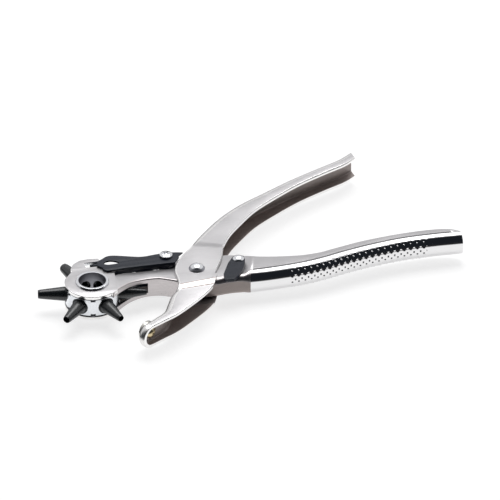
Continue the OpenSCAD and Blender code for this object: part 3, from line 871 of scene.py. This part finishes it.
def textured(name, colour, metallic, roughness, stretch, scale, spread, tint, bump,
             grime=0.0, **extra):
    """Surface with a fine grain, stretched and scaled, and with a slow change across the
    piece. They vary the roughness by spread and the colour by tint, darker by grime; bump is
    the strength of the grain's relief."""
    material, nodes, links = new_material(name)
    shader = principled(material, colour, metallic, roughness, **extra)
    place = nodes.new("ShaderNodeTexCoord")
    mapping = nodes.new("ShaderNodeMapping")
    mapping.inputs["Scale"].default_value = stretch
    links.new(place.outputs["Object"], mapping.inputs["Vector"])
    grain = nodes.new("ShaderNodeTexNoise")
    grain.inputs["Scale"].default_value = scale
    grain.inputs["Detail"].default_value = 4
    links.new(mapping.outputs["Vector"], grain.inputs["Vector"])
    slow = nodes.new("ShaderNodeTexNoise")
    slow.inputs["Scale"].default_value = SLOW_SCALE
    slow.inputs["Detail"].default_value = 6
    links.new(place.outputs["Object"], slow.inputs["Vector"])
    rough = nodes.new("ShaderNodeMapRange")
    rough.inputs["From Min"].default_value = NOISE_LOW
    rough.inputs["From Max"].default_value = NOISE_HIGH
    rough.inputs["To Min"].default_value = max(0.02, roughness - spread)
    rough.inputs["To Max"].default_value = roughness + spread
    blend = nodes.new("ShaderNodeMix")
    blend.data_type = "FLOAT"
    blend.inputs["Factor"].default_value = SLOW_SHARE
    links.new(grain.outputs["Fac"], blend.inputs["A"])
    links.new(slow.outputs["Fac"], blend.inputs["B"])
    links.new(blend.outputs["Result"], rough.inputs["Value"])
    links.new(rough.outputs["Result"], shader.inputs["Roughness"])
    ramp = nodes.new("ShaderNodeValToRGB")
    dark = [c * (1 - tint - grime) for c in colour]
    light = [min(1, c * (1 + tint)) for c in colour]
    ramp.color_ramp.elements[0].position = NOISE_LOW
    ramp.color_ramp.elements[0].color = (*dark, 1)
    ramp.color_ramp.elements[1].position = NOISE_HIGH
    ramp.color_ramp.elements[1].color = (*light, 1)
    links.new(blend.outputs["Result"], ramp.inputs["Fac"])
    links.new(ramp.outputs["Color"], shader.inputs["Base Color"])
    height = nodes.new("ShaderNodeBump")
    height.inputs["Strength"].default_value = bump
    height.inputs["Distance"].default_value = RELIEF
    links.new(grain.outputs["Fac"], height.inputs["Height"])
    links.new(height.outputs["Normal"], shader.inputs["Normal"])
    return material


def arm_materials(prefix, back_colour, back_roughness, reflection_tint_colour):
    """Satin cheeks, rounded back, bright cut edge, the inside's duller finish darkened as painted
    shade, and the neck's or step's tint, which is a painted reflection.
    """
    streaks = (0.06, 1, 1)
    return [
        textured(prefix + "_satin", (0.565, 0.555, 0.562), 1.0, 0.34, streaks, 2600, 0.07, 0.05,
                 0.10, 0.04),
        textured(prefix + "_back", back_colour, 1.0, back_roughness, (0.1, 1, 1), 1800, 0.03,
                 0.02, 0.01),
        textured(prefix + "_edge", (0.93, 0.92, 0.91), 1.0, 0.16, (1, 1, 0.1), 2600, 0.05,
                 0.04, 0.05),
        # Inside: a duller brown-grey finish, darkened further as painted shade.
        textured(prefix + "_inside", (0.40, 0.345, 0.325), 0.35, 0.45, streaks, 1400, 0.08, 0.10,
                 0.12, 0.15),
        # Tint of the neck or step: a painted reflection of the darker parts in front of them.
        textured(prefix + "_reflection_tint", reflection_tint_colour, 1.0, 0.30, streaks, 1400, 0.06, 0.08,
                 0.08, 0.10)]


def make_materials():
    return {
        # The last colour of each arm is its tint, a painted reflection.
        "turret_arm": arm_materials("turret_arm", (0.80, 0.795, 0.80), 0.07, (0.62, 0.585, 0.585)),
        "anvil_arm": arm_materials("anvil_arm", (0.80, 0.79, 0.78), 0.28, (0.74, 0.68, 0.655)),
        "bright": textured("bright_steel", (0.84, 0.85, 0.87), 1.0, 0.14, (1, 1, 1), 2200, 0.05,
                           0.04, 0.03),
        "turned": textured("turned_steel", (0.80, 0.82, 0.85), 1.0, 0.20, (1, 1, 8), 1500, 0.06,
                           0.05, 0.08),
        # Darker steel for the hub's bore; on the pivot rivet's rim it is painted shade.
        "bore": textured("darker_bore_and_rim_shade", (0.42, 0.42, 0.45), 1.0, 0.42, (1, 1, 1), 1500, 0.06,
                         0.06, 0.05),
        "zinc": textured("zinc_plate", (0.60, 0.60, 0.60), 1.0, 0.34, (1, 1, 1), 1600, 0.10,
                         0.10, 0.06, 0.05),
        "oxide": textured("black_oxide", (0.008, 0.012, 0.024), 0.0, 0.30, (1, 1, 1), 2600,
                          0.08, 0.35, 0.12, 0.1, Specular_IOR_Level=0.36),
        "tube": textured("tube_oxide", (0.010, 0.013, 0.015), 0.0, 0.27, (1, 1, 1), 2400, 0.08,
                         0.35, 0.10, 0.1, Specular_IOR_Level=0.72),
        "spring": textured("spring_steel", (0.30, 0.30, 0.31), 1.0, 0.32, (1, 1, 1), 2400, 0.08,
                           0.08, 0.05),
        "anvil": textured("anvil_metal", (0.60, 0.585, 0.55), 1.0, 0.26, (1, 1, 1), 1500, 0.08,
                          0.08, 0.08, 0.05),
        "brass": textured("brass", (0.70, 0.58, 0.36), 1.0, 0.24, (1, 1, 1), 1800, 0.07, 0.08,
                          0.06, 0.05)}


# ---------------------------------------------------------------- assembly

BODY_OF = {node: body for body, nodes in RECORD["behaviour"]["bodies"].items()
           for node in nodes}


def install(piece, node, materials):
    """Puts a piece in place of its CAD node: same body, finer shape."""
    made = materials if isinstance(materials, list) else [materials]
    slots = piece.data.materials
    for k, material in enumerate(made):
        if k < len(slots):
            slots[k] = material
        else:
            slots.append(material)
    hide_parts(node)
    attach(piece, BODY_OF[node])


def build_all(materials):
    install(build_turret_arm(), "turret_arm", materials["turret_arm"])
    install(build_anvil_arm(), "anvil_arm", materials["anvil_arm"])
    install(build_drum(), "turret_drum", materials["turned"])
    install(build_hub(), "turret_hub", [materials["bright"], materials["bore"]])
    for k in range(len(HOLES)):
        install(build_tube(k), f"punch_tube_{k + 1}", materials["tube"])
    install(pair_of_rings("hub_washers_finished", 12, HUB_R + 0.05, DRUM_HALF + 0.03,
                          CHEEK_IN - 0.03), "hub_washers", materials["zinc"])
    install(pair_of_rings("pivot_washers_finished", 7, 3.55, THROAT_HALF + 0.03,
                          PLATE_HALF - SHEET - 0.03, at(PIVOT)), "pivot_washers",
            materials["zinc"])
    install(build_pivot_rivet(), "pivot_rivet", [materials["bright"], materials["bore"]])
    install(build_lever(), "index_lever", materials["oxide"])
    install(build_screw(), "lever_screw", materials["bright"])
    install(build_nut(), "lever_nut", materials["zinc"])
    install(lathe("lever_sleeve_finished",
                  ring_outline(2.5, 1.8, 0.05 - LEVER_IN, LEVER_IN - 0.05, 0.15), at(SCREW)),
            "lever_sleeve", materials["zinc"])
    install(build_latch(), "latch", materials["oxide"])
    install(build_latch_rivet(), "latch_rivet", materials["bright"])
    install(lathe("latch_washer_finished",
                  ring_outline(2.6, 1.55, THROAT_HALF + HAIR, LATCH_LOW - HAIR, 0.04),
                  at(LATCH)), "latch_washer", materials["zinc"])
    install(build_anvil_disc(), "anvil_disc", materials["anvil"])
    install(build_anvil_rivet(), "anvil_rivet", materials["brass"])
    install(torsion_spring("opening_spring_finished", PIVOT, wire=0.6, coil=5.4, start=250,
                           total=1179, height=4.8, in_leg=11, out_leg=18),
            "opening_spring", materials["spring"])
    install(torsion_spring("lever_spring_finished", SCREW, wire=0.3, coil=3, start=200,
                           total=1400, height=3.4, in_leg=5, out_leg=8),
            "lever_spring", materials["spring"])


# ---------------------------------------------------------------- stage, light and camera

VIEW_AZIMUTH = math.radians(-12.3)
VIEW_ELEVATION = math.radians(33.5)
FRAME_WIDTH = 0.2575                # what the picture spans at the tool
CENTRE_RIGHT, CENTRE_UP = 0.02735, 0.0157  # picture centre from the pivot
DARK_BELOW, PALE_ABOVE = 0.24, 0.46  # sine of the angle at which a reflection meets the floor


def build_stage():
    """White floor that fades to dark in reflections where it is seen at a grazing angle."""
    bm = bmesh.new()
    bmesh.ops.create_grid(bm, x_segments=8, y_segments=8, size=2500)
    floor = finish_mesh("floor", bm)
    floor.location.z = CAD_BOX[0][2] - 0.0001
    material, nodes, links = new_material("pale_floor")
    shader = principled(material, (0.42, 0.42, 0.42), 0.0, 0.8, Specular_IOR_Level=0.1,
                        Emission_Color=(1, 1, 1, 1), Emission_Strength=0.72)
    dark = nodes.new("ShaderNodeEmission")
    dark.inputs["Color"].default_value = (0.02, 0.02, 0.022, 1)
    place = nodes.new("ShaderNodeNewGeometry")
    slope = nodes.new("ShaderNodeSeparateXYZ")
    links.new(place.outputs["Incoming"], slope.inputs["Vector"])
    grazing = nodes.new("ShaderNodeMapRange")
    grazing.interpolation_type = "SMOOTHSTEP"
    grazing.inputs["From Min"].default_value = DARK_BELOW
    grazing.inputs["From Max"].default_value = PALE_ABOVE
    grazing.inputs["To Min"].default_value = 1
    grazing.inputs["To Max"].default_value = 0
    links.new(slope.outputs["Z"], grazing.inputs["Value"])
    path = nodes.new("ShaderNodeLightPath")
    share = nodes.new("ShaderNodeMath")
    share.operation = "MULTIPLY"
    links.new(grazing.outputs["Result"], share.inputs[0])
    links.new(path.outputs["Is Glossy Ray"], share.inputs[1])
    mix = nodes.new("ShaderNodeMixShader")
    links.new(share.outputs["Value"], mix.inputs["Fac"])
    links.new(shader.outputs["BSDF"], mix.inputs[1])
    links.new(dark.outputs["Emission"], mix.inputs[2])
    links.new(mix.outputs["Shader"], nodes["Material Output"].inputs["Surface"])
    floor.data.materials.append(material)


def build_world():
    """Bright studio behind the tool and overhead, dark room behind the camera."""
    world = bpy.data.worlds.new("studio")
    bpy.context.scene.world = world
    world.use_nodes = True
    nodes, links = world.node_tree.nodes, world.node_tree.links
    place = nodes.new("ShaderNodeTexCoord")
    forward = (-math.sin(VIEW_AZIMUTH), math.cos(VIEW_AZIMUTH), 0.0)
    dot = nodes.new("ShaderNodeVectorMath")
    dot.operation = "DOT_PRODUCT"
    dot.inputs[1].default_value = forward
    links.new(place.outputs["Generated"], dot.inputs[0])
    ramp = nodes.new("ShaderNodeValToRGB")
    stops = ramp.color_ramp.elements    # 0 is straight behind the camera, 1 straight ahead
    stops[0].position, stops[0].color = 0.43, (0.012, 0.014, 0.018, 1)
    stops[1].position, stops[1].color = 0.50, (0.74, 0.74, 0.75, 1)
    shift = nodes.new("ShaderNodeMath")
    shift.operation = "MULTIPLY_ADD"
    shift.inputs[1].default_value = 0.5
    shift.inputs[2].default_value = 0.5
    links.new(dot.outputs["Value"], shift.inputs[0])
    links.new(shift.outputs["Value"], ramp.inputs["Fac"])
    links.new(ramp.outputs["Color"], nodes["Background"].inputs["Color"])
    nodes["Background"].inputs["Strength"].default_value = 1.0


def build_light():
    """Softbox above and behind the tool."""
    light = bpy.data.lights.new("overhead", "AREA")
    light.shape = "RECTANGLE"
    light.size, light.size_y = 1.0, 0.8
    light.energy = 9
    holder = bpy.data.objects.new("overhead", light)
    bpy.context.scene.collection.objects.link(holder)
    away = Vector((0.1, 0.5, 1.2))
    holder.location = (CAD_BOX[0] + CAD_BOX[1]) / 2 + away
    holder.rotation_euler = (-away).to_track_quat("-Z", "Y").to_euler()


def build_camera():
    """Very long lens, which sees nearly parallel as the photo does."""
    camera = bpy.data.cameras.new("camera")
    camera.lens = 1000
    camera.sensor_width = 36
    holder = bpy.data.objects.new("camera", camera)
    bpy.context.scene.collection.objects.link(holder)
    flat = math.cos(VIEW_ELEVATION)
    back = Vector((math.sin(VIEW_AZIMUTH) * flat, -math.cos(VIEW_AZIMUTH) * flat,
                   math.sin(VIEW_ELEVATION)))
    right = Vector((math.cos(VIEW_AZIMUTH), math.sin(VIEW_AZIMUTH), 0))
    up = back.cross(right)
    target = Vector((*(PIVOT * MM), 0)) + right * CENTRE_RIGHT + up * CENTRE_UP
    distance = FRAME_WIDTH * camera.lens / camera.sensor_width
    holder.location = target + back * distance
    holder.rotation_mode = "QUATERNION"
    holder.rotation_quaternion = (-back).to_track_quat("-Z", "Y")
    bpy.context.scene.camera = holder


build_all(make_materials())
build_stage()
build_world()
build_light()
build_camera()
bpy.context.scene.view_settings.view_transform = "Standard"
